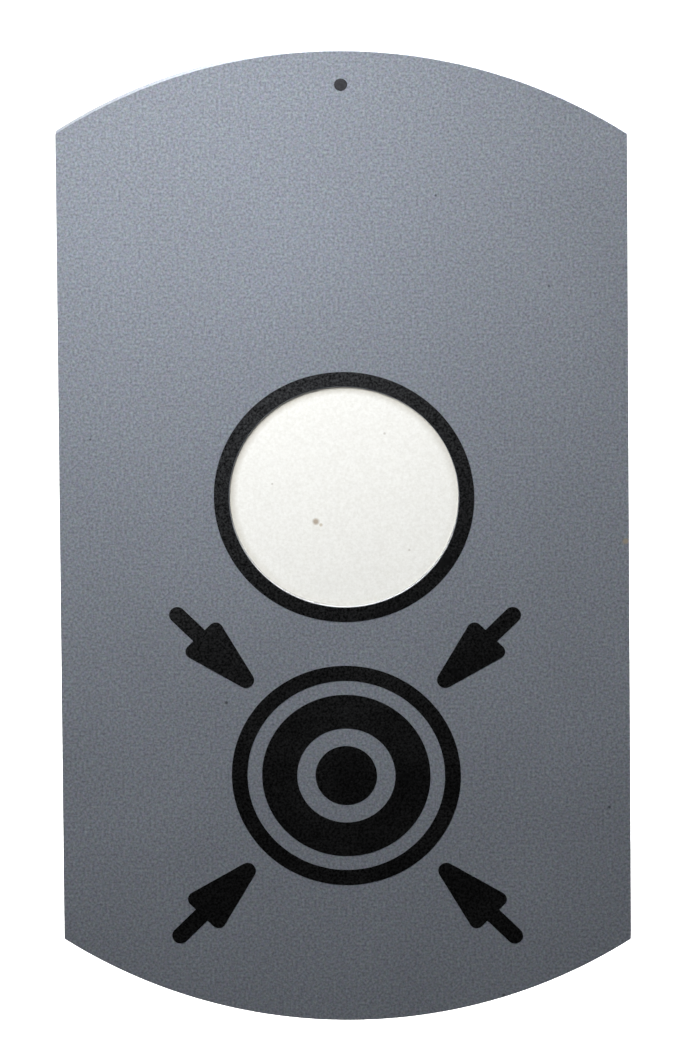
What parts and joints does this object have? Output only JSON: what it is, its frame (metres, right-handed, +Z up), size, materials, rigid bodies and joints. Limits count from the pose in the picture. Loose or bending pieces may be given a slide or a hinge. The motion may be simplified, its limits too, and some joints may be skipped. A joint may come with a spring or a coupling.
{
  "type": "pedestrian push button",
  "caption": "Wall-mounted crossing push button: tall plate with arched ends, round white lamp lens and printed target, rocking on a hidden hinge to work a sealed switch.",
  "frame": {"origin": "middle of the rear wall face, on the wall gasket", "axes": "+Y points into the wall, so the plate faces -Y; +Z is up, along the plate's length; +X is to the right for someone facing the plate"},
  "size_m": [0.1, 0.0421, 0.1774],
  "materials": {
    "plate_silver": "satin silver-grey fine-textured coating on aluminium",
    "print_black": "matt black screen-print ink",
    "lens_white": "white diffusing acrylic, fine satin texture",
    "lamp_clear": "clear polycarbonate",
    "white_plastic": "moulded white, matt",
    "led_cap": "cast epoxy over a white cup",
    "black_plastic": "moulded black nylon, fine grain",
    "tray_cast": "powder-coated dark grey die casting",
    "box_cast": "powder-coated dark grey die casting",
    "rubber_black": "moulded EPDM, dull",
    "zinc_steel": "zinc-plated steel",
    "stainless": "bright drawn stainless steel",
    "brass_turned": "turned brass",
    "acetal_black": "turned acetal, slight sheen",
    "switch_black": "moulded thermoset, matt",
    "board_green": "green solder mask on glass-epoxy",
    "connector_cream": "moulded natural nylon",
    "block_grey": "moulded grey polyamide",
    "lead_red": "extruded PVC insulation",
    "lead_blue": "extruded PVC insulation"
  },
  "bodies": {
    "housing": {"chassis_tray": "tray_cast", "stop_bumpers": "rubber_black", "rest_bumpers": "rubber_black", "hinge_pin": "stainless", "pin_clips": "stainless", "lock_screw": "stainless", "return_springs": "stainless", "plunger_bush": "brass_turned", "bush_nut": "zinc_steel", "plunger_boot": "rubber_black", "plunger_spring": "stainless", "switch_body": "switch_black", "switch_tabs": "brass_turned", "switch_bracket": "zinc_steel", "switch_screws": "zinc_steel", "switch_nuts": "zinc_steel", "switch_standoffs": "brass_turned", "bracket_screws": "zinc_steel", "lamp_glass_seal": "rubber_black", "lamp_glass": "lamp_clear", "reflector": "white_plastic", "led_board": "board_green", "leds": "led_cap", "board_screws": "zinc_steel", "lamp_connector": "connector_cream", "back_box": "box_cast", "box_gasket": "rubber_black", "wall_gasket": "rubber_black", "cable_grommet": "rubber_black", "terminal_block": "block_grey", "terminal_screws": "brass_turned", "block_screws": "zinc_steel", "lamp_leads": "lead_red", "switch_leads": "lead_blue"},
    "plate": {"push_plate": "plate_silver", "access_plug": "black_plastic", "plate_studs": "zinc_steel", "window_ring_print": "print_black", "target_print": "print_black", "arrow_prints": "print_black", "diffuser_lens": "lens_white", "lens_gasket": "rubber_black", "lens_ring": "black_plastic", "lens_nuts": "zinc_steel", "hinge_bracket": "zinc_steel", "bracket_nuts": "zinc_steel", "striker": "acetal_black", "spring_seats": "acetal_black"},
    "plunger": {"plunger": "acetal_black", "plunger_clip": "stainless"},
    "switch_lever": {"switch_lever": "stainless"},
    "switch_button": {"switch_button": "acetal_black"}
  },
  "joints": [
    {"name": "plate_press", "type": "hinge", "parent": "housing", "child": "plate", "pos_m": [0, -0.036, 0.055], "axis": [1, 0, 0], "range_deg": [0, 0.8721], "stiffness_Nm_per_rad": 44, "springref_deg": -0.78, "deforming": ["return_springs"]},
    {"name": "plunger_slide", "type": "slide", "parent": "housing", "child": "plunger", "axis": [0, 1, 0], "range_m": [0, 0.00151], "deforming": ["plunger_boot", "plunger_spring"]},
    {"name": "switch_lever_turn", "type": "hinge", "parent": "housing", "child": "switch_lever", "pos_m": [0, -0.0173, -0.031], "axis": [1, 0, 0], "range_deg": [0, 6.87]},
    {"name": "switch_button_slide", "type": "slide", "parent": "housing", "child": "switch_button", "axis": [0, 1, 0], "range_m": [0, 0.00078]}
  ],
  "couplings": [
    {"joint": "plunger_slide", "follows": "plate_press", "m_per_rad": 0.09855},
    {"joint": "switch_lever_turn", "follows": "plate_press", "ratio": 7.8526},
    {"joint": "switch_button_slide", "follows": "plate_press", "m_per_rad": 0.051042}
  ]
}
